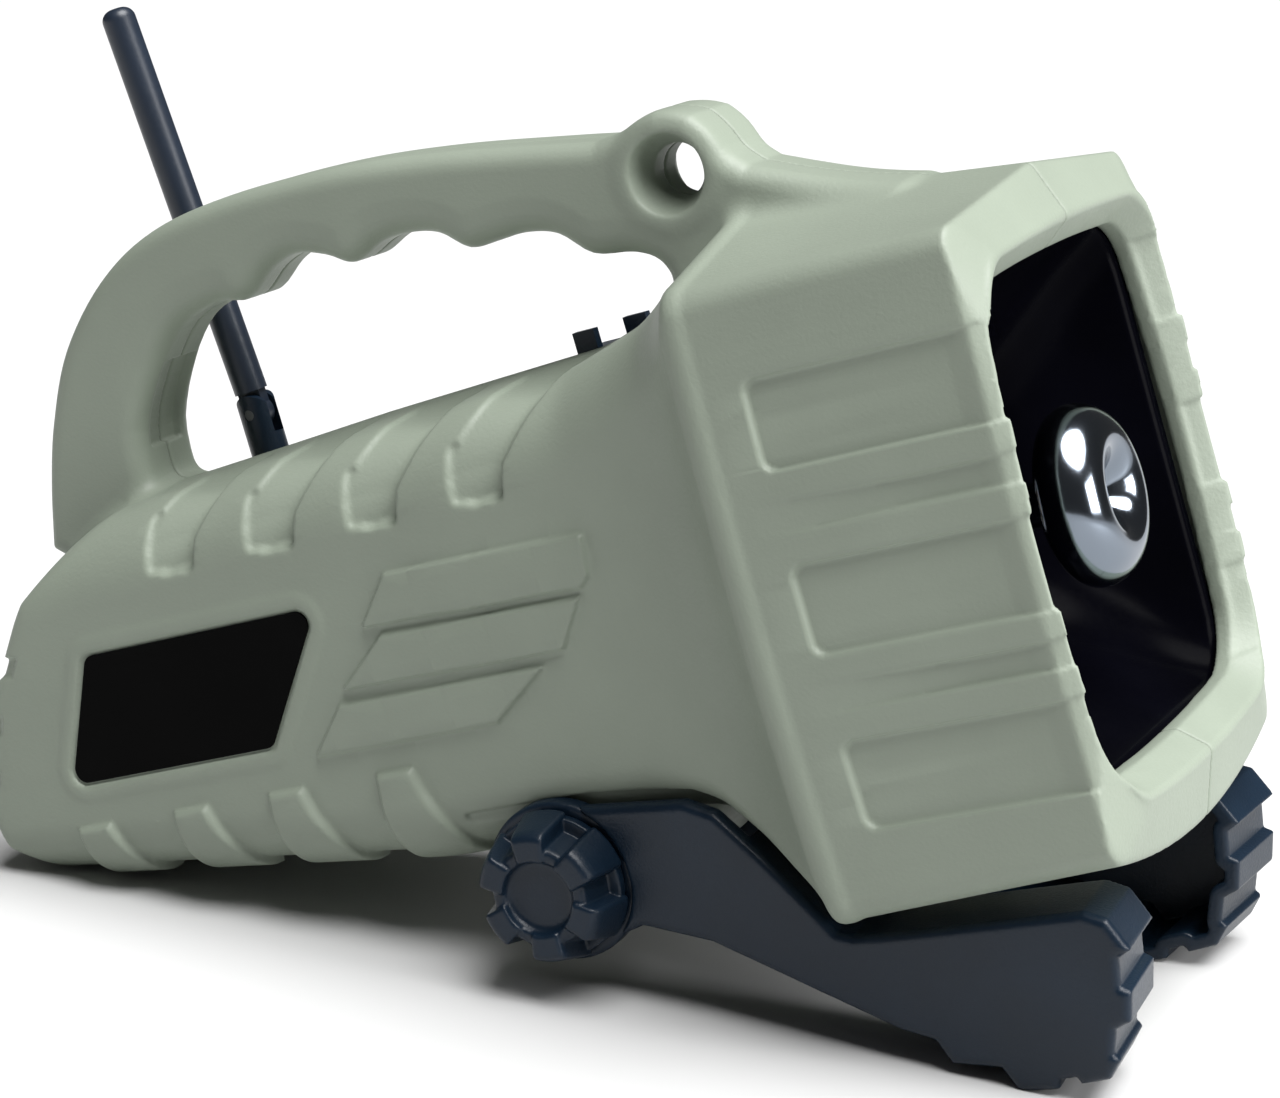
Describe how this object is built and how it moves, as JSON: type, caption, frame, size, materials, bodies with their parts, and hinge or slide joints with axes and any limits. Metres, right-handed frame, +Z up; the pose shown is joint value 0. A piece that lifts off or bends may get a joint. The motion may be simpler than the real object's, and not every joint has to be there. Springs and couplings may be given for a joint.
{
  "type": "electronic game caller",
  "caption": "Portable electronic game caller with a square horn, carry handle with lug, folding antenna and folding front legs",
  "frame": {"origin": "on the ground below the middle of the bounding box of the standing unit", "axes": "+X is the way the horn points, level; +Z is up; right side of the unit is -Y, and the unit is alike on both sides except for its antenna"},
  "size_m": [0.2794, 0.111, 0.1857],
  "materials": {
    "case_plastic": "fine moulded texture",
    "black_plastic": "fine moulded texture",
    "horn_black": "polished",
    "plug_black": "mirror polished",
    "label_black": "blank gloss plate",
    "antenna_sleeve": "satin",
    "rubber": "matt",
    "cast_alloy": "as cast",
    "diaphragm": "thin moulded film",
    "magnet_steel": "plated",
    "driver_cap_plastic": "moulded",
    "dark_steel": "blackened",
    "steel": "turned",
    "contact_metal": "nickel plated",
    "board_green": "lacquered",
    "component_black": "moulded",
    "cell_wrap": "shrink sleeve",
    "lead_sleeve": "insulation",
    "lens": "clear tinted"
  },
  "bodies": {
    "case": {"right_case": "case_plastic", "left_case": "case_plastic", "case_screws": "dark_steel", "horn_bell": "horn_black", "phase_plug": "plug_black", "driver_gasket": "rubber", "driver_front": "cast_alloy", "driver_diaphragm": "diaphragm", "driver_magnet": "magnet_steel", "driver_cap": "driver_cap_plastic", "driver_screws": "dark_steel", "main_board": "board_green", "board_parts": "component_black", "board_posts": "black_plastic", "battery_holder": "black_plastic", "battery_cells": "cell_wrap", "battery_contacts": "contact_metal", "speaker_leads": "lead_sleeve", "rear_panel": "black_plastic", "volume_control": "contact_metal", "button_switch": "component_black", "lamp_lens": "lens", "charge_port": "component_black", "right_label": "label_black", "left_label": "label_black", "door_hinge_pin": "steel", "antenna_base": "black_plastic", "antenna_pin": "steel", "antenna_clip": "black_plastic", "leg_axle": "steel", "leg_washers": "steel"},
    "right_leg": {"right_leg": "black_plastic"},
    "left_leg": {"left_leg": "black_plastic"},
    "right_knob": {"right_knob": "black_plastic"},
    "left_knob": {"left_knob": "black_plastic"},
    "antenna": {"antenna_mast": "antenna_sleeve"},
    "door": {"battery_door": "case_plastic"},
    "volume": {"volume_knob": "black_plastic"},
    "button": {"push_button": "rubber"},
    "cover": {"port_cover": "rubber"}
  },
  "joints": [
    {"name": "right_leg_fold", "type": "hinge", "parent": "case", "child": "right_leg", "pos_m": [0.01515, -0.0368, 0.02317], "axis": [0, 1, 0], "range_deg": [0, 100]},
    {"name": "left_leg_fold", "type": "hinge", "parent": "case", "child": "left_leg", "pos_m": [0.01515, 0.0368, 0.02317], "axis": [0, 1, 0], "range_deg": [0, 100]},
    {"name": "right_knob_turn", "type": "hinge", "parent": "case", "child": "right_knob", "pos_m": [0.01515, -0.045, 0.02317], "axis": [0, -1, 0], "range_deg": [0, 540]},
    {"name": "left_knob_turn", "type": "hinge", "parent": "case", "child": "left_knob", "pos_m": [0.01515, 0.045, 0.02317], "axis": [0, 1, 0], "range_deg": [0, 540]},
    {"name": "antenna_fold", "type": "hinge", "parent": "case", "child": "antenna", "pos_m": [-0.08959, 0.022, 0.09744], "axis": [0, 1, 0], "range_deg": [0, 93.4]},
    {"name": "door_swing", "type": "hinge", "parent": "case", "child": "door", "pos_m": [-0.01492, 0, 0.02266], "axis": [0, -1, 0], "range_deg": [0, 95]},
    {"name": "volume_turn", "type": "hinge", "parent": "case", "child": "volume", "pos_m": [-0.13405, 0.0125, 0.02864], "axis": [0.9954, 0, -0.0958], "range_deg": [0, 290]},
    {"name": "button_press", "type": "slide", "parent": "case", "child": "button", "axis": [0.9954, 0, -0.0958], "range_m": [0, 0.0008], "stiffness_N_per_m": 900},
    {"name": "cover_flip", "type": "hinge", "parent": "case", "child": "cover", "pos_m": [-0.13074, -0.014, 0.03596], "axis": [0, 1, 0], "range_deg": [0, 110]}
  ]
}
